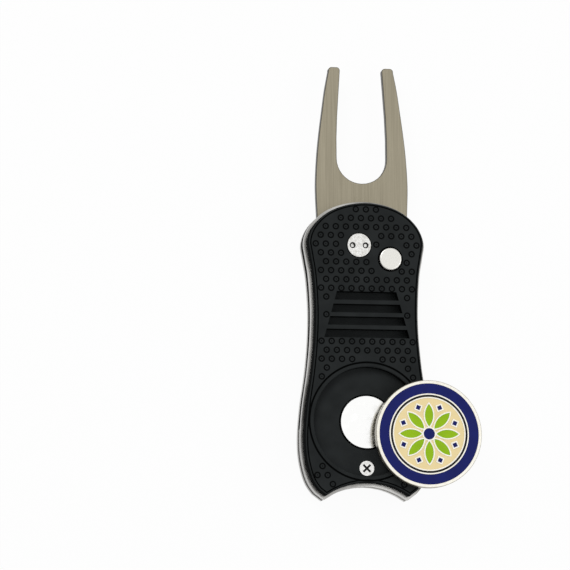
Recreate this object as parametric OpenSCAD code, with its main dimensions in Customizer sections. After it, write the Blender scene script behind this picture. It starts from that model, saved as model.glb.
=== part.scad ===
// Folding divot repair tool: a two-pronged fork that springs out of a flat handle, a release
// button beside the pivot, and a magnetic seat for a round ball marker.
// Millimetres. The tool lies on its back. +Z points out of the front, +Y towards the fork, and
// the origin lies on the back face, on the axis of the marker seat.

/* [Handle] */
// Thickness of the back cover
back_t = 2.4; // [2.2:0.1:3]
// Thickness of each metal liner
liner_t = 1.5; // [1.4:0.1:1.6]
// Gap between the liners, where the fork folds
gap_t = 2.2; // [2.2:0.1:2.4]
// Thickness of the front cover
front_t = 2.8; // [2.7:0.1:3]
// How far the liners stand out past the front cover
liner_proud = 0.65; // [0.4:0.05:0.7]

/* [Fork] */
// Thickness of the fork blade
fork_t = 1.8; // [1.6:0.1:1.8]
// Y of the prong tips when the fork is open
tip_y = 86.1; // [85.5:0.1:87]
// Radius of the round bottom of the gap between the prongs
crotch_r = 6.1; // [5.8:0.1:6.3]

/* [Pivot and button] */
// X of the pivot
pivot_x = -1.7; // [-2:0.1:-1]
// Y of the pivot
pivot_y = 42; // [41.8:0.1:42.4]
// X of the button from the pivot
button_dx = 7.5; // [7.4:0.1:7.8]
// Y of the button from the pivot
button_dy = -3.2; // [-3.4:0.1:-3]
// Radius of the button
button_r = 2.65; // [2.5:0.05:2.7]

/* [Marker seat] */
// Radius of the ball marker, a one inch disc
marker_r = 12.7; // [12:0.1:12.7]
// Thickness of the ball marker
marker_t = 2.2; // [1.8:0.1:2.4]
// Radial play of the marker in its seat
seat_play = 0.2; // [0.1:0.05:0.3]
// Depth of the seat below the front face
seat_depth = 1.8; // [1.6:0.1:1.9]
// Radius of the magnet
magnet_r = 6.2; // [5.5:0.1:6.3]

/* [Hidden] */
$fn = 64;
// A small overlap, and the length by which a cut runs past the face it opens through
eps = 0.01;
over = 1;
// Longer than any half of the tool
far = 60;

// Radial clearances, from a light press to a loose hole
close_fit = 0.02;
running_fit = 0.05;
sliding_fit = 0.1;
free_fit = 0.15;
wide_fit = 0.25;
end_play = 0.2;

// How far the spacer stands back from the liners' edges
seam = 0.15;

// Heights of the layers, from the back face up
z_back = back_t;
z_gap = z_back + liner_t;
z_front_liner = z_gap + gap_t;
z_front = z_front_liner + liner_t;
z_face = z_front + front_t;
z_seat = z_face - seat_depth;

// Right half of the front cover's outline, from the top centre to the point at the bottom corner
side_points = [[0, 52.3], [5, 51.6], [9.2, 49.8], [12.4, 46.8], [13.9, 43.2], [13.5, 39.6], [12.75, 34.7],
    [12.3, 27], [12.5, 19.5], [13.25, 11.7], [14.4, 4], [15, -3], [14.75, -8.5], [13.5, -13.4],
    [11.7, -16.2], [10, -17.5]];
// The bottom edge is a hollow arc that rises this far between the two points
hollow_rise = 3.15;
side_steps = 4;
hollow_steps = 10;

// Right outer edge of the fork, from the tip down to the shoulder, and its inner edge. The lead
// is the point before the first, which sets the direction there.
prong_lead = [7.6, 86.4];
prong_outer = [[7.95, 85], [8.8, 80.6], [9.5, 75.6], [10.2, 70.3], [10.75, 65.3], [11.1, 60.1],
    [11.2, 56], [11, 50.5], [10.9, 47.2]];
prong_inner = [[5.15, 85.2], [5.55, 79.3], [5.9, 74], [6.1, 68.7]];
crotch_y = 57.7;
// Above this height the frame is open at its top, and the blade's lower edge keeps clear of it
mouth_y = 46.9;
blade_foot = [[8.2, mouth_y + 0.3], [6, 45.2], [-8, 45.2]];
tip_corner_r = 0.8;
// Relief along the blade's edges
fork_edge = 0.12;
// Room round the blade as it folds
sweep_play = 0.45;

// Pivot and lock
bush_r = 2.6;
fork_bore_r = bush_r + running_fit;
bolt_r = 1.8;
bolt_end_z = 1.5;
pivot_head_r = 2.8;
head_pocket_r = 3.05;
head_t = 0.95;
nut_sleeve_r = 2.5;
washer_r = 5.4;
washer_t = 0.17;
tang_r = 6.85;
notch_r = 2.25;
stem_r = 1.1;
collar_r = 1.8;
collar_z = 2.5;
collar_t = 1;
button_x = pivot_x + button_dx;
button_y = pivot_y + button_dy;
button_stand = 0.6;
flange_r = 3.35;
flange_z = 7.45;
flange_t = 0.7;
button_hole_r = 3.05;
stem_end_z = 2.2;
stem_top_z = 8.95;
spring_pocket_z = 0.8;
spring_pocket_r = 2.3;
head_stand = 0.05;
nut_face_z = 0.25;
spanner_hole_r = 0.42;
spanner_hole_x = 1.57;
spanner_hole_depth = 0.7;
sink_r = 0.76;
sink_depth = 0.35;

// The fork's spring is a flat spiral in a pocket round the tang's bore
coil_pocket_r = 5;
coil_pocket_depth = 1.1;
coil_inner_r = 3.1;
coil_outer_r = 4.7;
coil_turns = 3;
coil_strip = 0.3;
coil_h = 0.9;
coil_steps = 24;
coil_gap = 0.05;

// Fasteners
rivet_r = 0.9;
rivet_places = [[10.6, 25], [11.6, 42], [10.4, -8.6], [-10.4, -7.2]];
pin_r = 0.8;
pin_places = [[10.9, 15], [-11.3, -11.6]];
pin_from = 1.4;
pin_to = 8.4;
screw_y = -10.9;
screw_r = 1;
screw_head_r = 1.75;
screw_head_t = 0.65;
screw_head_drop = 0.06;
screw_end_z = 1.2;
cross_l = 2.4;
cross_w = 0.5;
cross_depth = 0.45;
insert_r = 1.9;
insert_from = 0.8;

// Rounded edge of the covers, and the groove that follows the border of the front
edge_h = 0.8;
edge_w = 0.36;
groove_in = 0.4;
groove_w = 0.32;
groove_depth = 0.45;

// Marker seat
seat_r = marker_r + seat_play;
lip_r = 0.35;
bead_r = seat_r + 0.85;
bead_groove = 0.5;
bead_w = 0.5;
bead_slope = 0.1;
magnet_stand = 0.3;
magnet_edge = 0.12;
// A narrow moat round the magnet
moat_w = 0.4;
moat_depth = 0.6;

// Grip slots across the waist
slot_count = 4;
slot_top_y = 30.9;
slot_h = 2.05;
slot_pitch = 3;
slot_half_top = 7.2;
slot_half_bottom = 10.3;
slot_depth = 2.3;

// Where the loose marker lies on the front face, half off its seat
marker_at = [14.2, -3];
marker_gap = 0.12;

// Marker design, radii and heights
line_w = 0.3;
enamel_t = 0.3;
enamel_drop = 0.1;
coin_edge = 0.15;
rim_in_r = 11.95;
band_in_r = 9.55;
groove_in_r = 8.75;
field_r = 8.45;
petal_count = 8;
petal_arc_r = 4.2;
petal_offset = 3.05;
petal_mid_r = 4.4;
diamond_mid_r = 6.7;
diamond_side = 1.3;
hub_r = 1.35;

// --- curves -------------------------------------------------------------------------------

// Catmull-Rom point between b and c at t from 0 to 1
function between(a, b, c, d, t) =
    0.5 * (2 * b + (c - a) * t + (2 * a - 5 * b + 4 * c - d) * t * t
    + (3 * b - a - 3 * c + d) * t * t * t);

function at(p, i) = p[max(0, min(len(p) - 1, i))];

// A smooth curve through the points p, open at both ends. lead is the point before the first.
function curve(p, lead, steps) = concat(
    [for (i = [0 : len(p) - 2]) for (s = [0 : steps - 1])
        let (last = i == len(p) - 2)
        if (!last || s == 0)
            between(i == 0 ? lead : at(p, i - 1), at(p, i), at(p, i + 1), at(p, i + 2), s / steps)],
    [at(p, len(p) - 1)]);

function reversed(p) = [for (i = [len(p) - 1 : -1 : 0]) p[i]];
function mirrored(p) = [for (i = [len(p) - 1 : -1 : 0]) [-p[i][0], p[i][1]]];

function arc(centre, r, from, to, steps) =
    [for (i = [0 : steps]) let (a = from + (to - from) * i / steps)
        centre + r * [cos(a), sin(a)]];

// The front cover's outline, clockwise from the top centre
function outline() =
    let (side = curve(side_points, mirrored(side_points)[len(side_points) - 2], side_steps),
        corner = side_points[len(side_points) - 1],
        r = (corner[0] * corner[0] + hollow_rise * hollow_rise) / (2 * hollow_rise),
        centre = [0, corner[1] + hollow_rise - r],
        half = asin(corner[0] / r),
        hollow = arc(centre, r, 90 - half, 90 + half, hollow_steps),
        left = mirrored(side))
    concat(side,
        [for (i = [1 : len(hollow) - 2]) hollow[i]],
        [for (i = [0 : len(left) - 2]) left[i]]);

function unit(v) = v / norm(v);
function inward(a, b) = let (t = unit(b - a)) [t[1], -t[0]];

// The outline moved inwards by d, with mitred corners
function inset(p, d) =
    [for (i = [0 : len(p) - 1])
        let (n1 = inward(p[(i + len(p) - 1) % len(p)], p[i]),
            n2 = inward(p[i], p[(i + 1) % len(p)]))
        p[i] + d * (n1 + n2) / (1 + n1 * n2)];

module plate(d, from, to) {
    translate([0, 0, from]) linear_extrude(to - from) polygon(inset(outline(), d));
}

// A solid that follows the outline p through levels of [inset, height], lowest first. p runs
// clockwise seen from above, and every point of it can be seen from the first one.
module layered(p, levels) {
    n = len(p);
    points = [for (l = levels) for (q = inset(p, l[0])) [q[0], q[1], l[1]]];
    walls = [for (i = [0 : len(levels) - 2]) for (k = [0 : n - 1])
        let (a = i * n + k, b = i * n + (k + 1) % n)
        [a, a + n, b + n, b]];
    floor_face = [for (k = [0 : n - 1]) n - 1 - k];
    top_face = [for (k = [0 : n - 1]) (len(levels) - 1) * n + k];
    polyhedron(points, concat(walls, [floor_face, top_face]));
}

module disc(x, y, r, from, to) {
    translate([x, y, from]) cylinder(r = r, h = to - from);
}

module ring(r_out, r_in, from, to) {
    difference() {
        disc(0, 0, r_out, from, to);
        disc(0, 0, r_in, from - over, to + over);
    }
}

// --- handle -------------------------------------------------------------------------------

// Levels of a cover's rounded edge, outwards from its flat side at from to its face at to
function rounded_edge(from, to) = let (up = sign(to - from), tall = min(edge_h, abs(to - from)))
    concat([[0, from]],
        [for (a = [0 : 22.5 : 90]) [edge_w * (1 - cos(a)), to - up * tall * (1 - sin(a))]]);

module border_groove(z) {
    difference() {
        plate(groove_in, z, z + over);
        plate(groove_in + groove_w, z - over, z + 2 * over);
    }
}

// The seat's floor, its wall with a rounded lip, and the groove round the lip
module seat_cut() {
    rotate_extrude() polygon(concat(
        [[0, z_seat], [seat_r, z_seat]],
        arc([seat_r + lip_r, z_face - lip_r], lip_r, 180, 90, 5),
        [[seat_r + lip_r, z_face + over], [0, z_face + over]]));
    rotate_extrude() polygon([[bead_r, z_face + eps], [bead_r + bead_slope, z_face - bead_groove],
        [bead_r + bead_w - bead_slope, z_face - bead_groove], [bead_r + bead_w, z_face + eps]]);
}

module grip_slots(from, to) {
    slope = (slot_half_bottom - slot_half_top) / (slot_pitch * (slot_count - 1) + slot_h);
    for (i = [0 : slot_count - 1]) {
        top = slot_top_y - i * slot_pitch;
        w1 = slot_half_top + slope * i * slot_pitch;
        w2 = w1 + slope * slot_h;
        translate([0, 0, from]) linear_extrude(to - from)
            polygon([[-w1, top], [w1, top], [w2, top - slot_h], [-w2, top - slot_h]]);
    }
}

module pin_holes(from, to) {
    for (p = pin_places) disc(p[0], p[1], pin_r + close_fit, from, to);
}

module front_cover() {
    color([0.07, 0.07, 0.08]) difference() {
        layered(outline(), rounded_edge(z_front, z_face));
        border_groove(z_face - groove_depth);
        seat_cut();
        disc(0, 0, magnet_r + running_fit, z_front - over, z_seat + over);
        disc(0, 0, magnet_r + moat_w, z_seat - moat_depth, z_seat + over);
        disc(0, screw_y, screw_head_r + sliding_fit,
            z_seat - screw_head_t - screw_head_drop, z_seat + over);
        disc(0, screw_y, screw_r + free_fit, z_front - over, z_face);
        disc(pivot_x, pivot_y, head_pocket_r, z_face - head_t, z_face + over);
        disc(pivot_x, pivot_y, bolt_r + running_fit, z_front - over, z_face);
        disc(button_x, button_y, button_hole_r, z_front, z_face + over);
        disc(button_x, button_y, flange_r + wide_fit, z_front - over, flange_z + flange_t + running_fit);
        grip_slots(z_face - slot_depth, z_face + over);
        pin_holes(z_front - over, pin_to + running_fit);
    }
}

module back_cover() {
    color([0.07, 0.07, 0.08]) difference() {
        layered(outline(), reversed(rounded_edge(z_back, 0)));
        disc(pivot_x, pivot_y, head_pocket_r, -over, nut_face_z + head_t);
        disc(pivot_x, pivot_y, nut_sleeve_r + running_fit, 0, z_back + over);
        disc(button_x, button_y, spring_pocket_r, spring_pocket_z, z_back + over);
        disc(0, screw_y, insert_r + close_fit, insert_from, z_back + over);
        pin_holes(pin_from - running_fit, z_back + over);
    }
}

// Holes that the liners share
module liner_holes(button_hole) {
    disc(0, screw_y, screw_r + free_fit, 0, z_face);
    disc(button_x, button_y, button_hole, 0, z_face);
    for (p = rivet_places) disc(p[0], p[1], rivet_r + close_fit, 0, z_face);
    pin_holes(0, z_face);
}

module front_liner() {
    color([0.78, 0.77, 0.74]) difference() {
        plate(-liner_proud, z_front_liner, z_front);
        disc(pivot_x, pivot_y, bolt_r + running_fit, 0, z_face);
        liner_holes(flange_r + free_fit);
    }
}

module back_liner() {
    color([0.78, 0.77, 0.74]) difference() {
        plate(-liner_proud, z_back, z_gap);
        disc(pivot_x, pivot_y, nut_sleeve_r + running_fit, 0, z_face);
        liner_holes(collar_r + sliding_fit);
    }
}

// The space that the fork needs between the liners, from open to folded
module fork_sweep() {
    reach = norm([prong_outer[0][0] - pivot_x, tip_y - pivot_y]) + sweep_play;
    widest = max([for (p = prong_outer) p[0]]);
    folded_edge = 2 * pivot_x + widest + sweep_play;
    intersection() {
        disc(pivot_x, pivot_y, reach, 0, z_face);
        translate([-far, -far, 0]) cube([far + folded_edge, far + mouth_y, z_face]);
    }
    translate([-far, mouth_y, 0]) cube([2 * far, far, z_face]);
}

module frame_spacer() {
    color([0.74, 0.73, 0.7]) difference() {
        plate(seam - liner_proud, z_gap, z_front_liner);
        fork_sweep();
        disc(0, screw_y, screw_r + free_fit, 0, z_face);
        for (p = rivet_places) disc(p[0], p[1], rivet_r + close_fit, 0, z_face);
        pin_holes(0, z_face);
    }
}

module frame_rivets() {
    color([0.7, 0.7, 0.7]) for (p = rivet_places) disc(p[0], p[1], rivet_r, z_back, z_front);
}

module locating_pins() {
    color([0.7, 0.7, 0.72]) for (p = pin_places) disc(p[0], p[1], pin_r, pin_from, pin_to);
}

// --- fork ---------------------------------------------------------------------------------

// Half of the gap between the prongs: up the inner edge and round the tip's inner corner
function crotch() = arc([0, crotch_y + crotch_r], crotch_r, 270, 360, 9);

function prong() =
    let (top_in = prong_inner[0], top_out = prong_outer[0],
        outer = curve(prong_outer, prong_lead, 3))
    concat(
        crotch(),
        [for (i = [len(prong_inner) - 1 : -1 : 0]) prong_inner[i]],
        arc([top_in[0] + tip_corner_r, tip_y - tip_corner_r], tip_corner_r, 180, 90, 5),
        arc([top_out[0] - tip_corner_r, tip_y - tip_corner_r], tip_corner_r, 90, 10, 5),
        outer);

// Blade outline from the crotch round both prongs to the shoulders
function blade() = let (right = prong(), left = mirrored(right))
    concat(right, blade_foot, [for (i = [0 : len(left) - 2]) left[i]]);

module fork() {
    z0 = z_gap + (gap_t - fork_t) / 2;
    z1 = z0 + fork_t;
    color([0.6, 0.57, 0.51]) difference() {
        union() {
            translate([0, 0, z0]) linear_extrude(fork_t) polygon(inset(blade(), fork_edge));
            translate([0, 0, z0 + fork_edge]) linear_extrude(fork_t - 2 * fork_edge)
                polygon(blade());
            disc(pivot_x, pivot_y, tang_r, z0, z1);
        }
        disc(pivot_x, pivot_y, fork_bore_r, z0 - over, z1 + over);
        disc(button_x, button_y, notch_r, z0 - over, z1 + over);
        disc(pivot_x - button_dx, pivot_y - button_dy, notch_r, z0 - over, z1 + over);
        disc(pivot_x, pivot_y, coil_pocket_r, z0 - over, z0 + coil_pocket_depth);
    }
}

module fork_spring() {
    z0 = z_gap + (gap_t - fork_t) / 2;
    n = coil_turns * coil_steps;
    edge = [for (i = [0 : n]) let (a = 360 * coil_turns * i / n,
        r = coil_inner_r + (coil_outer_r - coil_strip - coil_inner_r) * i / n) [r, a]];
    color([0.5, 0.5, 0.52]) translate([pivot_x, pivot_y, z0 + coil_gap])
        linear_extrude(coil_h)
        polygon(concat(
            [for (e = edge) e[0] * [cos(e[1]), sin(e[1])]],
            [for (i = [n : -1 : 0]) let (e = edge[i]) (e[0] + coil_strip) * [cos(e[1]), sin(e[1])]]));
}

// --- pivot --------------------------------------------------------------------------------

// Two countersunk holes for a pin spanner in the face at height z. out is 1 for a face that looks
// up and -1 for one that looks down.
module spanner_holes(z, out) {
    wide = 2 * sink_r - spanner_hole_r;
    for (s = [-1, 1]) translate([pivot_x + s * spanner_hole_x, pivot_y, z]) {
        rotate_extrude() polygon([[0, -out * spanner_hole_depth],
            [spanner_hole_r, -out * spanner_hole_depth], [spanner_hole_r, -out * sink_depth],
            [wide, out * sink_depth], [0, out * sink_depth]]);
    }
}

module pivot_bolt() {
    color([0.85, 0.85, 0.84]) difference() {
        union() {
            disc(pivot_x, pivot_y, pivot_head_r, z_face - head_t, z_face + head_stand);
            disc(pivot_x, pivot_y, bolt_r, bolt_end_z, z_face - head_t + eps);
        }
        spanner_holes(z_face + head_stand, 1);
    }
}

module pivot_nut() {
    color([0.85, 0.85, 0.84]) difference() {
        union() {
            disc(pivot_x, pivot_y, pivot_head_r, nut_face_z, nut_face_z + head_t);
            disc(pivot_x, pivot_y, nut_sleeve_r, nut_face_z + eps, z_gap);
        }
        disc(pivot_x, pivot_y, bolt_r + running_fit, bolt_end_z - end_play, z_face);
        spanner_holes(nut_face_z, -1);
    }
}

module pivot_bush() {
    color([0.72, 0.58, 0.3]) difference() {
        disc(pivot_x, pivot_y, bush_r, z_gap, z_front_liner);
        disc(pivot_x, pivot_y, bolt_r + running_fit, 0, z_face);
    }
}

module pivot_washers() {
    color([0.75, 0.6, 0.35]) for (z = [z_gap, z_front_liner - washer_t])
        translate([pivot_x, pivot_y, 0]) ring(washer_r, bush_r + running_fit, z, z + washer_t);
}

// --- button -------------------------------------------------------------------------------

module button_cap() {
    dome = 0.3;
    color([0.86, 0.85, 0.82]) translate([button_x, button_y, 0]) difference() {
        union() {
            disc(0, 0, flange_r, flange_z, flange_z + flange_t);
            rotate_extrude() polygon(concat(
                [[0, flange_z + eps], [button_r, flange_z + eps]],
                arc([button_r - dome, z_face + button_stand - dome], dome, 0, 90, 5),
                [[0, z_face + button_stand]]));
        }
        disc(0, 0, stem_r, flange_z - over, stem_top_z);
    }
}

module lock_plunger() {
    color([0.62, 0.62, 0.64]) union() {
        disc(button_x, button_y, stem_r, stem_end_z, stem_top_z);
        disc(button_x, button_y, collar_r, collar_z, collar_z + collar_t);
    }
}

// A coil spring swept as one tube
module button_spring() {
    wire = 0.22;
    turns = 3;
    per_turn = 20;
    sides = 8;
    low = spring_pocket_z + wire / 2 + close_fit;
    high = collar_z - wire / 2 - close_fit;
    mid_r = 1.5;
    n = turns * per_turn;
    points = [for (i = [0 : n]) for (k = [0 : sides - 1])
        let (a = 360 * i / per_turn, b = 360 * k / sides, r = mid_r + wire / 2 * cos(b))
        [r * cos(a), r * sin(a), low + (high - low) * i / n + wire / 2 * sin(b)]];
    walls = [for (i = [0 : n - 1]) for (k = [0 : sides - 1])
        let (a = i * sides + k, b = i * sides + (k + 1) % sides)
        [a, a + sides, b + sides, b]];
    ends = [[for (k = [0 : sides - 1]) k], [for (k = [sides - 1 : -1 : 0]) n * sides + k]];
    color([0.5, 0.5, 0.52]) translate([button_x, button_y, 0])
        polyhedron(points, concat(walls, ends));
}

// --- seat and case fasteners --------------------------------------------------------------

module magnet() {
    color([0.9, 0.9, 0.88]) rotate_extrude() polygon(concat(
        [[0, z_front], [magnet_r, z_front]],
        arc([magnet_r - magnet_edge, z_seat + magnet_stand - magnet_edge], magnet_edge, 0, 90, 4),
        [[0, z_seat + magnet_stand]]));
}

module case_screw() {
    top = z_seat - screw_head_drop;
    color([0.8, 0.8, 0.78]) translate([0, screw_y, 0]) difference() {
        union() {
            disc(0, 0, screw_head_r, top - screw_head_t, top);
            disc(0, 0, screw_r, screw_end_z, top - screw_head_t + eps);
        }
        for (a = [45, 135]) rotate([0, 0, a])
            translate([-cross_l / 2, -cross_w / 2, top - cross_depth])
                cube([cross_l, cross_w, cross_depth + over]);
    }
}

module case_insert() {
    color([0.75, 0.6, 0.3]) difference() {
        disc(0, screw_y, insert_r, insert_from, z_back);
        disc(0, screw_y, screw_r + running_fit, screw_end_z - end_play, z_face);
    }
}

// --- marker -------------------------------------------------------------------------------

z_marker = z_face + marker_gap;
z_lines = z_marker + marker_t;
z_enamel = z_lines - enamel_drop;
z_floor = z_enamel - enamel_t;

module at_marker() {
    translate([marker_at[0], marker_at[1], 0]) children();
}

// A pointed petal: where two discs overlap. grow widens it on every side.
module petal(grow, from, to) {
    translate([0, petal_mid_r, 0]) intersection() {
        disc(petal_offset, 0, petal_arc_r + grow, from, to);
        disc(-petal_offset, 0, petal_arc_r + grow, from, to);
    }
}

module petals(grow, from, to) {
    for (i = [0 : petal_count - 1]) rotate([0, 0, 360 * i / petal_count]) petal(grow, from, to);
}

module diamonds(grow, from, to) {
    side = diamond_side + 2 * grow;
    for (i = [0 : petal_count - 1]) rotate([0, 0, 360 * (i + 0.5) / petal_count])
        translate([0, diamond_mid_r, from]) rotate([0, 0, 45])
            translate([-side / 2, -side / 2, 0]) cube([side, side, to - from]);
}

module marker_coin() {
    color([0.84, 0.82, 0.76]) at_marker() difference() {
        union() {
            rotate_extrude() polygon([[0, z_marker], [marker_r - coin_edge, z_marker],
                [marker_r, z_marker + coin_edge], [marker_r, z_lines - coin_edge],
                [marker_r - coin_edge, z_lines], [rim_in_r, z_lines], [rim_in_r, z_floor],
                [0, z_floor]]);
            ring(band_in_r, band_in_r - line_w, z_floor - eps, z_lines);
            ring(groove_in_r, field_r, z_floor - eps, z_lines);
            petals(line_w / 2, z_floor - eps, z_lines);
            diamonds(line_w / 2, z_floor - eps, z_lines);
            disc(0, 0, hub_r + line_w, z_floor - eps, z_lines);
        }
        petals(-line_w / 2, z_floor, z_lines + over);
        diamonds(-line_w / 2, z_floor, z_lines + over);
        disc(0, 0, hub_r, z_floor, z_lines + over);
    }
}

module marker_rim_enamel() {
    color([0.02, 0.05, 0.32]) at_marker() ring(rim_in_r, band_in_r, z_floor, z_enamel);
}

module marker_groove_enamel() {
    color([0.03, 0.03, 0.03]) at_marker() ring(band_in_r - line_w, groove_in_r, z_floor, z_enamel);
}

module marker_field_enamel() {
    color([0.93, 0.86, 0.6]) at_marker() difference() {
        disc(0, 0, field_r, z_floor, z_enamel);
        petals(line_w / 2, z_floor - over, z_lines + over);
        diamonds(line_w / 2, z_floor - over, z_lines + over);
        disc(0, 0, hub_r + line_w, z_floor - over, z_lines + over);
    }
}

module marker_petal_enamel() {
    color([0.45, 0.7, 0.08]) at_marker() difference() {
        petals(-line_w / 2, z_floor, z_enamel);
        disc(0, 0, hub_r + line_w, z_floor - over, z_lines + over);
    }
}

module marker_diamond_enamel() {
    color([0.02, 0.05, 0.32]) at_marker() diamonds(-line_w / 2, z_floor, z_enamel);
}

module marker_hub_enamel() {
    color([0.02, 0.05, 0.32]) at_marker() disc(0, 0, hub_r, z_floor, z_enamel);
}

front_cover();
back_cover();
front_liner();
back_liner();
frame_spacer();
frame_rivets();
locating_pins();
fork();
fork_spring();
pivot_bolt();
pivot_nut();
pivot_bush();
pivot_washers();
button_cap();
lock_plunger();
button_spring();
magnet();
case_screw();
case_insert();
marker_coin();
marker_rim_enamel();
marker_groove_enamel();
marker_field_enamel();
marker_petal_enamel();
marker_diamond_enamel();
marker_hub_enamel();
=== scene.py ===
# %% [markdown]
# # A folding divot repair tool
#
# The tool is a two-pronged steel fork that springs out of a slim black handle. The handle is a
# sandwich: two polished liners with a spacer between them, and a moulded black cover on each
# side. A magnet in a round seat holds an enamelled ball marker. Every piece with a fit or a
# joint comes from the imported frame, so this script gives each piece its finish, adds the moulded
# grip pattern, and sets up a plain studio.

# %% Load the frame
import math

import bpy
import bmesh
from mathutils import Matrix, Vector


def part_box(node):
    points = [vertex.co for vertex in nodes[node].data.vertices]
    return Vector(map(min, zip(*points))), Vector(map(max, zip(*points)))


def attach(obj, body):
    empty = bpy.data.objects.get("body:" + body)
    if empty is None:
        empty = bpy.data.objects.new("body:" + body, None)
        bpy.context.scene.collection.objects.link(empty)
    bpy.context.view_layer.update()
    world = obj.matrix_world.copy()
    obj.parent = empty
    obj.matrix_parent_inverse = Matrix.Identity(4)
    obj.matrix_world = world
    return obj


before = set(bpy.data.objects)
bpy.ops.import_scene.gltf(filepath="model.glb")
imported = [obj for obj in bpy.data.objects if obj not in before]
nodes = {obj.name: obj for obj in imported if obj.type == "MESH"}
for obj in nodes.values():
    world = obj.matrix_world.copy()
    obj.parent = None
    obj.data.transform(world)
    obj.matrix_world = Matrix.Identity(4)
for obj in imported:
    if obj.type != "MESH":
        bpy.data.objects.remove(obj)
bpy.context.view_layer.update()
MM = 0.001

# %% [markdown]
# ## Where things are
#
# All places come from the boxes of the frame's own nodes. The seat's axis is the frame's Z axis,
# the front face is the top of the front cover, and the tool lies on the floor at height zero.

# %% Measure the frame
cover_low, cover_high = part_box("front_cover")
fork_low, fork_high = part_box("fork")
face_z = cover_high.z
tool_middle = Vector((0, (cover_low.y + fork_high.y) / 2, face_z / 2))
tool_length = fork_high.y - cover_low.y
print(f"tool {tool_length / MM:.1f} mm long, front face {face_z / MM:.1f} mm up")

# %% [markdown]
# ## The camera
#
# The camera looks down on the tool lying on its back, a little from its left and from below, so
# the bright frame shows along the left side and round the hollow bottom edge. A long lens far
# away keeps the two long sides nearly parallel. The tool stands to the right of the middle,
# because the aim point lies beside it on the floor.

# %% Set up the camera
CAMERA_LEAN = Vector((-0.17, -0.15, 0.974))
CAMERA_AWAY = 0.7
CAMERA_ROLL = math.radians(-0.34)
FOCAL_LENGTH = 186.0
SENSOR_WIDTH = 36.0
NEAREST_SEEN = 10 * MM
AIM = Vector((-0.0187, 0.0329, 0.005))


def add_camera():
    """A camera that looks at AIM along CAMERA_LEAN, with +Y up in its picture."""
    data = bpy.data.cameras.new("camera")
    data.lens = FOCAL_LENGTH
    data.sensor_width = SENSOR_WIDTH
    data.clip_start = NEAREST_SEEN
    camera = bpy.data.objects.new("camera", data)
    bpy.context.scene.collection.objects.link(camera)
    back = CAMERA_LEAN.normalized()
    right = Vector((0, 1, 0)).cross(back).normalized()
    up = back.cross(right)
    turned_right = right * math.cos(CAMERA_ROLL) + up * math.sin(CAMERA_ROLL)
    turned_up = up * math.cos(CAMERA_ROLL) - right * math.sin(CAMERA_ROLL)
    camera.matrix_world = Matrix((
        (turned_right.x, turned_up.x, back.x, AIM.x + back.x * CAMERA_AWAY),
        (turned_right.y, turned_up.y, back.y, AIM.y + back.y * CAMERA_AWAY),
        (turned_right.z, turned_up.z, back.z, AIM.z + back.z * CAMERA_AWAY),
        (0, 0, 0, 1),
    ))
    return camera


bpy.context.scene.camera = add_camera()
print("camera tilt from straight down:", round(math.degrees(CAMERA_LEAN.angle((0, 0, 1))), 1))

# %% [markdown]
# ## A small language for shaders
#
# A finish is a little formula: noise, stretched one way, mixed into a colour, a roughness and a
# bump. Written as nodes it is hard to read. Here one class wraps a socket, so that + - * build
# Math nodes, and one method adds any other node from its type, its settings and its inputs.
#
# Shade is painted by height here, because every piece is a stack of level faces. So a finish can
# list spans of height that keep their own colour, and everything outside them is painted darker
# as shade. EDGE is how far that change takes, and HIGHEST is a height above every piece. A Mix
# node has a set of sockets for each kind of data, all with the same names, so its colour sockets go
# by number.

# %% Shader helpers
EDGE = 0.05 * MM
HIGHEST = 1.0
MIX_FIRST, MIX_SECOND, MIX_COLOUR = 6, 7, 2


class Value:
    """The output of a shader node. Arithmetic on it adds Math nodes."""

    def __init__(self, finish, socket):
        self.finish = finish
        self.socket = socket

    def maths(self, operation, first, second):
        return self.finish.node("ShaderNodeMath", {"operation": operation}, {0: first, 1: second})

    def __add__(self, other):
        return self.maths("ADD", self, other)

    __radd__ = __add__

    def __mul__(self, other):
        return self.maths("MULTIPLY", self, other)

    def __sub__(self, other):
        return self.maths("SUBTRACT", self, other)

    def __rsub__(self, other):
        return self.maths("SUBTRACT", other, self)


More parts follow.
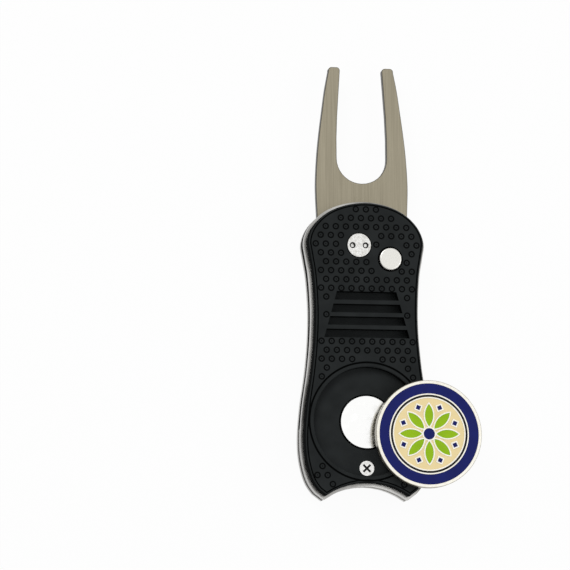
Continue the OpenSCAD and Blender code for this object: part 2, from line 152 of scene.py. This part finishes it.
class Finish:
    """A material with one Principled shader, and the nodes that feed it."""

    def __init__(self, name, **constants):
        self.material = bpy.data.materials.new(name)
        self.material.use_nodes = True
        self.tree = self.material.node_tree
        self.tree.nodes.clear()
        self.output = self.tree.nodes.new("ShaderNodeOutputMaterial")
        self.shader = self.tree.nodes.new("ShaderNodeBsdfPrincipled")
        self.tree.links.new(self.shader.outputs[0], self.output.inputs["Surface"])
        for socket, value in constants.items():
            self.shader.inputs[socket.replace("_", " ")].default_value = value

    def put(self, socket, value):
        """Links a Value to an input socket, or sets the number or colour on it."""
        if isinstance(value, Value):
            self.tree.links.new(value.socket, socket)
        else:
            socket.default_value = value

    def node(self, kind, settings=None, inputs=None, output=0):
        """Adds one node: settings first, then its inputs, and returns one of its outputs."""
        node = self.tree.nodes.new(kind)
        for name, value in (settings or {}).items():
            setattr(node, name, value)
        for key, value in (inputs or {}).items():
            self.put(node.inputs[key], value)
        return Value(self, node.outputs[output])

    def place(self, scale):
        """Object coordinates multiplied by scale, per metre along X, Y and Z."""
        coordinates = self.node("ShaderNodeTexCoord", output="Object")
        return self.node("ShaderNodeMapping", {}, {"Vector": coordinates, "Scale": scale})

    def noise(self, scale, detail=2.0, roughness=0.5):
        """Noise from 0 to 1, centred on a half, with scale blobs a metre along X, Y and Z."""
        return self.node("ShaderNodeTexNoise", {}, {
            "Vector": self.place(scale), "Scale": 1.0, "Detail": detail, "Roughness": roughness})

    def stretch(self, value, low, high):
        """Goes from 0 to 1 as value goes from low to high, and stays there beyond them."""
        return self.node("ShaderNodeMapRange", {"clamp": True}, {
            "Value": value, "From Min": low, "From Max": high, "To Min": 0.0, "To Max": 1.0})

    def step(self, low, high):
        """Goes from 0 to 1 as a point's height above the floor goes from low to high, in metres."""
        height = self.node("ShaderNodeSeparateXYZ", {}, {0: self.place((1, 1, 1))}, output="Z")
        return self.stretch(height, low, high)

    def upright(self):
        """0 on a level surface, 1 on a vertical wall."""
        facing = self.node("ShaderNodeNewGeometry", output="Normal")
        level = self.node("ShaderNodeSeparateXYZ", {}, {0: facing}, output="Z")
        return 1 - level.maths("ABSOLUTE", level, 0.0)

    def mix(self, first, second, amount):
        """A colour from first to second as amount goes from 0 to 1."""
        return self.node("ShaderNodeMix", {"data_type": "RGBA"}, {
            "Factor": amount, MIX_FIRST: first, MIX_SECOND: second}, output=MIX_COLOUR)

    def between(self, low, high, amount):
        """The same, from two plain colours."""
        return self.mix((*low, 1), (*high, 1), amount)

    def shade_outside_spans(self, colour, spans, shade_colour):
        """Keeps colour inside the spans of height, and paints a darker colour everywhere else, as
        shade.
        """
        bright = 0.0
        for low, high in spans:
            bright = bright + self.step(low - EDGE, low) * (1 - self.step(high, high + EDGE))
        return self.mix((*shade_colour, 1), colour, bright)

    def vary(self, socket, value):
        """Feeds a value that changes over the surface to the shader."""
        self.put(self.shader.inputs[socket], value)

    def bump(self, height, distance, strength=1.0):
        """Raises the surface by height times distance, in metres."""
        self.vary("Normal", self.node("ShaderNodeBump", {}, {
            "Height": height, "Distance": distance, "Strength": strength}, output="Normal"))


def near(height, reach):
    """The span of height within reach of a height."""
    return (height - reach, height + reach)


def paint(finish, *names):
    """Puts a finish on frame nodes."""
    for name in names:
        piece = nodes[name]
        piece.data.materials.clear()
        piece.data.materials.append(finish.material)


def top_of(name):
    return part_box(name)[1].z


def bottom_of(name):
    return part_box(name)[0].z


print("shader helpers ready")

# %% [markdown]
# ## Black moulded covers
#
# The covers are moulded in matt black. A spark-eroded mould leaves a very fine grain, so the
# finish is almost black, rough, and slightly uneven, with a bump about a hundredth of a
# millimetre high. The level faces, which are the front, the back and the floors of the seat and
# the slots, keep that dark grey tone. The grooves, the walls of the seat and the slots, and the
# side walls are painted near-black as shade, and the walls are the roughest.

# %% Cover finish
# Outside the spans below, the covers are painted near-black as shade: in the grooves, on the walls
# of the seat and the slots, and on the side walls.
PAINTED_SHADE_BLACK = (0.002, 0.0023, 0.0024)
SEAT_DEPTH = 1.8 * MM
SLOT_DEPTH = 2.3 * MM
SHADE_FREE_DEPTH = 0.2 * MM
cover_faces = [
    (face_z - SHADE_FREE_DEPTH, HIGHEST),
    near(face_z - SEAT_DEPTH, EDGE),
    near(face_z - SLOT_DEPTH, EDGE),
    (-HIGHEST, bottom_of("back_cover") + SHADE_FREE_DEPTH),
]


def moulded_black(name, dark, light, rough):
    """Black plastic, dark to light at random on its level faces, painted near-black as shade
    elsewhere, and rough on its walls.
    """
    finish = Finish(name, Specular_IOR_Level=0.03)
    grain = finish.noise((9000, 9000, 9000), detail=2)
    cloud = finish.noise((220, 220, 220), detail=3)
    face_tone = finish.between(dark, light, cloud)
    finish.vary("Base Color", finish.shade_outside_spans(face_tone, cover_faces, PAINTED_SHADE_BLACK))
    uneven = (grain - 0.5) * 0.16 + (cloud - 0.5) * 0.1
    finish.vary("Roughness", rough + uneven + finish.upright() * 0.4)
    finish.bump(grain, 0.012 * MM, 0.5)
    return finish


cover_black = moulded_black(
    "cover_black", dark=(0.0115, 0.013, 0.0133), light=(0.028, 0.031, 0.0317), rough=0.55)
# The rings are painted far darker than the face, as painted shade, the way a moulded groove looks
# dark.
ring_shade_black = moulded_black(
    "ring_shade_black", dark=(0.0006, 0.0007, 0.0008), light=(0.0016, 0.0018, 0.002), rough=0.5)
paint(cover_black, "front_cover", "back_cover")
print("covers:", cover_black.material.name, "and", ring_shade_black.material.name)

# %% [markdown]
# ## Satin and polished steel
#
# The fork is rolled strip, satin brushed along its length, so its grain is noise stretched about
# eighty times along Y. Its edge walls, between its two brushed faces, are painted dark grey as
# shade. The liners are polished, and the marks of their grinding run along the edge, so their
# noise changes quickly with height and slowly along X and Y. Small turned parts, such as the
# plunger, get a plain satin steel.

# %% Steel finishes
# The fork's edge walls, between its two brushed faces, are painted this dark grey as shade.
FORK_EDGE_SHADE = (0.06, 0.057, 0.05)
BRUSHED_SKIN = 0.03 * MM
BRUSH_DEPTH = 0.004 * MM
fork_faces = [(top_of("fork") - BRUSHED_SKIN, HIGHEST),
              (-HIGHEST, bottom_of("fork") + BRUSHED_SKIN)]


def brushed(name, dark, light, rough, scale, shown=((-HIGHEST, HIGHEST),)):
    """Steel whose grain is fine across and long along the direction with the low scale."""
    finish = Finish(name, Metallic=1.0)
    strokes = finish.noise(scale, detail=4, roughness=0.6)
    cloud = finish.noise((60, 40, 60), detail=2)
    contrast = finish.stretch(strokes * 0.7 + cloud * 0.3, 0.38, 0.62)
    colour = finish.between(dark, light, contrast)
    finish.vary("Base Color", finish.shade_outside_spans(colour, shown, FORK_EDGE_SHADE))
    finish.vary("Roughness", rough + (strokes - 0.5) * 0.16 + (cloud - 0.5) * 0.08)
    finish.bump(strokes, BRUSH_DEPTH, 0.6)
    return finish


fork_satin = brushed(
    "fork_satin", dark=(0.255, 0.229, 0.168), light=(0.31, 0.28, 0.21), rough=0.38,
    scale=(5000, 60, 5000), shown=fork_faces)
liner_bright = brushed(
    "liner_bright", dark=(0.14, 0.137, 0.13), light=(0.62, 0.61, 0.585), rough=0.24,
    scale=(50, 50, 7500))
spacer_satin = brushed(
    "spacer_satin", dark=(0.14, 0.137, 0.13), light=(0.45, 0.44, 0.42), rough=0.34,
    scale=(50, 50, 6500))
plain_steel = brushed(
    "plain_steel", dark=(0.5, 0.5, 0.5), light=(0.62, 0.62, 0.62), rough=0.35,
    scale=(2000, 2000, 300))
spring_steel = brushed(
    "spring_steel", dark=(0.3, 0.3, 0.32), light=(0.42, 0.42, 0.44), rough=0.35,
    scale=(900, 900, 900))
bronze = brushed(
    "bronze", dark=(0.5, 0.36, 0.16), light=(0.62, 0.47, 0.24), rough=0.35,
    scale=(1500, 1500, 300))
paint(fork_satin, "fork")
paint(liner_bright, "front_liner", "back_liner")
paint(spacer_satin, "frame_spacer")
paint(plain_steel, "frame_rivets", "locating_pins", "lock_plunger")
paint(spring_steel, "fork_spring", "button_spring")
paint(bronze, "pivot_bush", "pivot_washers", "case_insert")
print("steel finishes: 6")

# %% [markdown]
# ## Bright nickel
#
# The pivot head, the button, the screw, the magnet and the marker are nickel plated. Plating
# copies the surface under it: a tumbled rivet head is finely pitted, a button is satin from
# wear, and a magnet is nearly a mirror. One function makes all of them from how pitted and how
# rough they are. Below its open face each piece is painted near-black as shade, on its sides and
# in its holes, apart from the floors of the two holes that take the spanner. The marker's edge
# gets a milder painted shade.

# %% Nickel finishes
# These colours are painted shade: near-black in holes and on the sides below each open face, and
# milder on the marker's edge.
PAINTED_RECESS_SHADE = (0.015, 0.015, 0.015)
COIN_EDGE_SHADE = (0.3, 0.28, 0.23)
SKIN_ABOVE_SHADE = 0.04 * MM
BAND_ABOVE_SHADE = 0.1 * MM
HOLE_DEPTH = 0.7 * MM


def nickel(name, dark, light, rough, pits, pit_depth, shown, shade_colour=PAINTED_RECESS_SHADE):
    """Plated metal. shown lists spans of height that keep their colour: the rest is painted shade.
    """
    finish = Finish(name, Metallic=1.0)
    speckle = finish.noise((pits, pits, pits), detail=3, roughness=0.7)
    pitted = finish.stretch(speckle, 0.38, 0.6)
    colour = finish.between(dark, light, pitted)
    finish.vary("Base Color", finish.shade_outside_spans(colour, shown, shade_colour))
    finish.vary("Roughness", rough + (1 - pitted) * 0.18)
    finish.bump(pitted, pit_depth, 0.6)
    return finish


bolt_top = top_of("pivot_bolt")
nut_bottom = bottom_of("pivot_nut")
rivet_faces = [
    (bolt_top - SKIN_ABOVE_SHADE, HIGHEST),
    near(bolt_top - HOLE_DEPTH, EDGE),
    near(nut_bottom + HOLE_DEPTH, EDGE),
    (-HIGHEST, nut_bottom + SKIN_ABOVE_SHADE),
]
rivet_nickel = nickel(
    "rivet_nickel", dark=(0.5, 0.49, 0.46), light=(0.86, 0.86, 0.84), rough=0.2,
    pits=3200, pit_depth=0.015 * MM, shown=rivet_faces)
button_nickel = nickel(
    "button_nickel", dark=(0.61, 0.6, 0.56), light=(0.71, 0.7, 0.665), rough=0.3,
    pits=2500, pit_depth=0.003 * MM, shown=[(face_z - BAND_ABOVE_SHADE, HIGHEST)])
magnet_nickel = nickel(
    "magnet_nickel", dark=(0.96, 0.96, 0.95), light=(0.98, 0.98, 0.97), rough=0.06,
    pits=600, pit_depth=0.0003 * MM, shown=[(top_of("magnet") - BAND_ABOVE_SHADE, HIGHEST)])
screw_nickel = nickel(
    "screw_nickel", dark=(0.6, 0.59, 0.57), light=(0.88, 0.88, 0.86), rough=0.24,
    pits=2600, pit_depth=0.008 * MM, shown=[(top_of("case_screw") - SKIN_ABOVE_SHADE, HIGHEST)])
marker_nickel = nickel(
    "marker_nickel", dark=(0.68, 0.65, 0.56), light=(0.86, 0.84, 0.77), rough=0.28,
    pits=1500, pit_depth=0.0005 * MM, shown=[(top_of("marker_coin") - SKIN_ABOVE_SHADE, HIGHEST)],
    shade_colour=COIN_EDGE_SHADE)
paint(rivet_nickel, "pivot_bolt", "pivot_nut")
paint(button_nickel, "button_cap")
paint(magnet_nickel, "magnet")
paint(screw_nickel, "case_screw")
paint(marker_nickel, "marker_coin")
print("nickel finishes: 5")

# %% [markdown]
# ## Soft enamel
#
# The marker's colours are soft enamel, poured into cells between raised metal lines and baked.
# Enamel is glossy and slightly wavy, because it shrinks a little away from the lines, and its
# colour is deeper where it lies thicker.

# %% Enamel finishes
def enamel(name, deep, pale):
    finish = Finish(name, Coat_Weight=0.15, Coat_Roughness=0.06, Specular_IOR_Level=0.12)
    cloud = finish.noise((420, 420, 420), detail=2)
    ripple = finish.noise((900, 900, 900), detail=1)
    finish.vary("Base Color", finish.between(deep, pale, cloud))
    finish.vary("Roughness", 0.22 + (cloud - 0.5) * 0.12)
    finish.bump(ripple, 0.02 * MM, 0.35)
    return finish


enamel_navy = enamel("enamel_navy", (0.001, 0.004, 0.09), (0.003, 0.010, 0.15))
enamel_black = enamel("enamel_black", (0.002, 0.002, 0.002), (0.005, 0.005, 0.005))
enamel_cream = enamel("enamel_cream", (0.90, 0.72, 0.36), (0.98, 0.82, 0.46))
enamel_green = enamel("enamel_green", (0.26, 0.48, 0.004), (0.36, 0.6, 0.010))
paint(enamel_navy, "marker_rim_enamel", "marker_diamond_enamel", "marker_hub_enamel")
paint(enamel_black, "marker_groove_enamel")
paint(enamel_cream, "marker_field_enamel")
paint(enamel_green, "marker_petal_enamel")
print("enamel finishes: 4")

# %% [markdown]
# ## The grip pattern
#
# The front is covered with small moulded rings in a honeycomb, each with a dot in the middle,
# like the dimples of a ball. They stop short of every edge: the border, the seat, the slots, the
# pivot and the button. So the pattern follows one rule: a ring goes at each point of a honeycomb
# that lies on the flat face and at least a margin away from its edges. The margin is a hair less
# than a ring's outer radius, so a ring can just reach over an edge. Geometry Nodes can ask
# exactly that, with the flat face itself as the input: one Proximity node measures the distance
# to the face, and another the distance to its open edges.

# %% The flat face
RING_PITCH = 2.44 * MM
RING_RADIUS = 0.62 * MM
RING_WIDTH = 0.34 * MM
RING_HEIGHT = 0.1 * MM
DOT_RADIUS = 0.13 * MM
EDGE_MARGIN = 0.72 * MM
FIRST_ROW = 1.64 * MM
SAME_POINT = 0.001 * MM
LEVEL = 0.002 * MM


def flat_face(name):
    """A mesh of the front cover's flat top, with its doubles merged and its edges open."""
    mesh = nodes["front_cover"].data.copy()
    mesh.name = name
    mesh.materials.clear()
    work = bmesh.new()
    work.from_mesh(mesh)
    bmesh.ops.remove_doubles(work, verts=work.verts, dist=SAME_POINT)
    off_top = [f for f in work.faces if any(abs(v.co.z - face_z) > LEVEL for v in f.verts)]
    bmesh.ops.delete(work, geom=off_top, context="FACES")
    work.to_mesh(mesh)
    work.free()
    piece = bpy.data.objects.new(name, mesh)
    bpy.context.scene.collection.objects.link(piece)
    return piece


grip = flat_face("grip_rings")
print("flat face:", len(grip.data.polygons), "faces")

# %% [markdown]
# The tree below makes the honeycomb from a grid whose odd rows are moved half a pitch sideways.
# The grid hangs from the handle's rounded top, and grows down past its bottom. The tree deletes
# the points that fail either distance test, and puts a ring and a dot on each of the others. A
# ring is a circle with a round profile swept along it, then flattened, so that half of it stands
# above the face. Everything is one plain mesh at the end.

# %% The honeycomb tree
class GeometryTree:
    """A Geometry Nodes group with named inputs, built from Python."""

    def __init__(self, name, inputs):
        self.tree = bpy.data.node_groups.new(name, "GeometryNodeTree")
        face = self.tree.interface
        face.new_socket("Geometry", in_out="INPUT", socket_type="NodeSocketGeometry")
        self.identifiers = {}
        for label in inputs:
            socket = face.new_socket(label, in_out="INPUT", socket_type="NodeSocketFloat")
            self.identifiers[label] = socket.identifier
        face.new_socket("Geometry", in_out="OUTPUT", socket_type="NodeSocketGeometry")
        self.entry = self.tree.nodes.new("NodeGroupInput")

    def node(self, kind, settings=None, inputs=None):
        node = self.tree.nodes.new(kind)
        for name, value in (settings or {}).items():
            setattr(node, name, value)
        for key, value in (inputs or {}).items():
            if isinstance(value, bpy.types.NodeSocket):
                self.tree.links.new(value, node.inputs[key])
            else:
                node.inputs[key].default_value = value
        return node

    def maths(self, operation, first, second):
        node = self.node("ShaderNodeMath", {"operation": operation}, {0: first, 1: second})
        return node.outputs[0]

    def finish(self, geometry, material):
        solid = self.node("GeometryNodeRealizeInstances", {}, {"Geometry": geometry})
        painted = self.node("GeometryNodeSetMaterial", {}, {
            "Geometry": solid.outputs[0], "Material": material})
        self.node("NodeGroupOutput", {}, {0: painted.outputs[0]})


ROW_RATIO = math.sqrt(3) / 2
RING_SIDES = 28
PROFILE_SIDES = 10
ON_FACE = 0.01 * MM
INPUTS = {"Pitch": RING_PITCH, "Radius": RING_RADIUS, "Width": RING_WIDTH, "Height": RING_HEIGHT,
          "Dot": DOT_RADIUS, "Margin": EDGE_MARGIN, "Face": face_z, "Top": cover_high.y - FIRST_ROW}


def honeycomb_tree(columns, rows):
    g = GeometryTree("honeycomb_rings", INPUTS)
    entry = g.entry.outputs
    row_pitch = g.maths("MULTIPLY", entry["Pitch"], ROW_RATIO)
    grid = g.node("GeometryNodeMeshGrid", {}, {
        "Size X": g.maths("MULTIPLY", entry["Pitch"], columns - 1.0),
        "Size Y": g.maths("MULTIPLY", row_pitch, rows - 1.0),
        "Vertices X": columns, "Vertices Y": rows})
    row = g.maths("MODULO", g.node("GeometryNodeInputIndex").outputs[0], float(rows))
    odd = g.maths("MODULO", row, 2.0)
    shift = g.node("ShaderNodeCombineXYZ", {}, {
        "X": g.maths("MULTIPLY", g.maths("MULTIPLY", odd, 0.5), entry["Pitch"]),
        "Y": g.maths("SUBTRACT", entry["Top"], g.maths("MULTIPLY", row_pitch, (rows - 1.0) / 2)),
        "Z": entry["Face"]})
    moved = g.node("GeometryNodeSetPosition", {}, {
        "Geometry": grid.outputs["Mesh"], "Offset": shift.outputs[0]})
    open_edge = g.node("FunctionNodeCompare", {"data_type": "INT", "operation": "EQUAL"}, {
        "A": g.node("GeometryNodeInputMeshEdgeNeighbors").outputs[0], "B": 1})
    border = g.node("GeometryNodeSeparateGeometry", {"domain": "EDGE"}, {
        "Geometry": entry["Geometry"], "Selection": open_edge.outputs[0]})
    to_edge = g.node("GeometryNodeProximity", {"target_element": "EDGES"}, {0: border.outputs[0]})
    to_face = g.node("GeometryNodeProximity", {"target_element": "FACES"}, {0: entry["Geometry"]})
    near_edge = g.maths("LESS_THAN", to_edge.outputs["Distance"], entry["Margin"])
    off_face = g.maths("GREATER_THAN", to_face.outputs["Distance"], ON_FACE)
    kept = g.node("GeometryNodeDeleteGeometry", {"domain": "POINT"}, {
        "Geometry": moved.outputs[0], "Selection": g.maths("MAXIMUM", near_edge, off_face)})
    points = g.node("GeometryNodeMeshToPoints", {}, {"Mesh": kept.outputs[0]})
    circle = g.node("GeometryNodeCurvePrimitiveCircle", {}, {
        "Resolution": RING_SIDES, "Radius": entry["Radius"]})
    half_width = g.maths("MULTIPLY", entry["Width"], 0.5)
    profile = g.node("GeometryNodeCurvePrimitiveCircle", {}, {
        "Resolution": PROFILE_SIDES, "Radius": half_width})
    tube = g.node("GeometryNodeCurveToMesh", {}, {
        "Curve": circle.outputs[0], "Profile Curve": profile.outputs[0]})
    dot = g.node("GeometryNodeMeshIcoSphere", {}, {"Radius": entry["Dot"], "Subdivisions": 2})
    pair = g.node("GeometryNodeJoinGeometry")
    g.tree.links.new(tube.outputs[0], pair.inputs[0])
    g.tree.links.new(dot.outputs["Mesh"], pair.inputs[0])
    flatten = g.node("ShaderNodeCombineXYZ", {}, {
        "X": 1.0, "Y": 1.0, "Z": g.maths("DIVIDE", entry["Height"], half_width)})
    low = g.node("GeometryNodeTransform", {}, {
        "Geometry": pair.outputs[0], "Scale": flatten.outputs[0]})
    placed = g.node("GeometryNodeInstanceOnPoints", {}, {
        "Points": points.outputs["Points"], "Instance": low.outputs[0]})
    g.finish(placed.outputs[0], ring_shade_black.material)
    return g


def odd_count(length, pitch):
    """The smallest odd number of points that covers a length at a pitch."""
    return 2 * math.ceil(length / pitch / 2) + 1


columns = odd_count(cover_high.x - cover_low.x, RING_PITCH)
rows = odd_count(cover_high.y - cover_low.y, RING_PITCH * ROW_RATIO)
tree = honeycomb_tree(columns, rows)
print("honeycomb:", columns, "by", rows)

# %% [markdown]
# The modifier's inputs are set by their identifiers, and the result is baked to a plain mesh, so
# that the piece has no live modifier when it is tied to the handle.

# %% Bake the rings
def bake_nodes(piece, tree, values):
    """Runs a Geometry Nodes tree on a piece, and leaves the result as its plain mesh."""
    modifier = piece.modifiers.new("nodes", "NODES")
    modifier.node_group = tree.tree
    for label, value in values.items():
        modifier[tree.identifiers[label]] = value
    depsgraph = bpy.context.evaluated_depsgraph_get()
    mesh = bpy.data.meshes.new_from_object(piece.evaluated_get(depsgraph))
    piece.modifiers.clear()
    piece.data = mesh
    for polygon in mesh.polygons:
        polygon.use_smooth = True
    return len(mesh.polygons)


print("ring faces:", bake_nodes(grip, tree, INPUTS))
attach(grip, "handle")

# %% [markdown]
# ## The studio
#
# The tool lies on a white table. A table that only reflects light comes out grey, so the camera
# and mirror rays see a table that is mostly glow, and a small share of the real one under it keeps
# a faint shadow.

# %% Table
TABLE_HALF = 1.2
TABLE_GLOW = 0.95


def add_table():
    finish = Finish("table_white", Roughness=0.9, Specular_IOR_Level=0.0)
    finish.shader.inputs["Base Color"].default_value = (0.88, 0.88, 0.88, 1)
    glow = finish.node("ShaderNodeEmission", {}, {"Color": (1, 1, 1, 1), "Strength": 1.0})
    seen = finish.node("ShaderNodeLightPath", output="Is Camera Ray")
    for ray in ("Is Glossy Ray", "Is Transmission Ray"):
        seen = seen + finish.node("ShaderNodeLightPath", output=ray)
    mixed = finish.node("ShaderNodeMixShader", {}, {
        "Fac": seen * TABLE_GLOW, 1: Value(finish, finish.shader.outputs[0]), 2: glow})
    finish.tree.links.new(mixed.socket, finish.output.inputs["Surface"])
    mesh = bpy.data.meshes.new("table")
    corners = [(-1, -1), (1, -1), (1, 1), (-1, 1)]
    mesh.from_pydata([(x * TABLE_HALF, y * TABLE_HALF, 0) for x, y in corners], [], [(0, 1, 2, 3)])
    mesh.materials.append(finish.material)
    table = bpy.data.objects.new("table", mesh)
    bpy.context.scene.collection.objects.link(table)


add_table()
print("table:", 2 * TABLE_HALF, "m wide")

# %% [markdown]
# Large soft lights give the steel its even sheen: a strong one from the upper left, and a weaker
# one from the right. Steel and nickel show what is round them, so the world is white for the
# camera and for mirror rays, and only dim where it lights the tool.

# %% Lights and world
def add_light(name, place, size, power):
    """A square soft light that faces the tool's middle."""
    data = bpy.data.lights.new(name, "AREA")
    data.size = size
    data.energy = power
    light = bpy.data.objects.new(name, data)
    bpy.context.scene.collection.objects.link(light)
    light.location = tool_middle + Vector(place)
    light.rotation_euler = (tool_middle - light.location).to_track_quat("-Z", "Y").to_euler()


def add_world(strength):
    """White to look at, and as bright as strength where it lights the scene."""
    world = bpy.data.worlds.new("studio")
    world.use_nodes = True
    bpy.context.scene.world = world
    tree = world.node_tree
    tree.nodes.clear()
    rays = tree.nodes.new("ShaderNodeLightPath")
    seen = rays.outputs["Is Camera Ray"]
    for ray in ("Is Glossy Ray", "Is Transmission Ray"):
        either = tree.nodes.new("ShaderNodeMath")
        either.operation = "MAXIMUM"
        tree.links.new(seen, either.inputs[0])
        tree.links.new(rays.outputs[ray], either.inputs[1])
        seen = either.outputs[0]
    soft = tree.nodes.new("ShaderNodeBackground")
    soft.inputs["Strength"].default_value = strength
    white = tree.nodes.new("ShaderNodeBackground")
    mixed = tree.nodes.new("ShaderNodeMixShader")
    out = tree.nodes.new("ShaderNodeOutputWorld")
    for background in (soft, white):
        background.inputs["Color"].default_value = (1, 1, 1, 1)
    tree.links.new(seen, mixed.inputs["Fac"])
    tree.links.new(soft.outputs[0], mixed.inputs[1])
    tree.links.new(white.outputs[0], mixed.inputs[2])
    tree.links.new(mixed.outputs[0], out.inputs["Surface"])


add_light("key", (-0.35, 0.45, 0.6), 0.35, 2.6)
add_light("fill", (0.5, -0.1, 0.5), 0.5, 1.4)
add_world(0.45)
bpy.context.scene.view_settings.view_transform = "Standard"
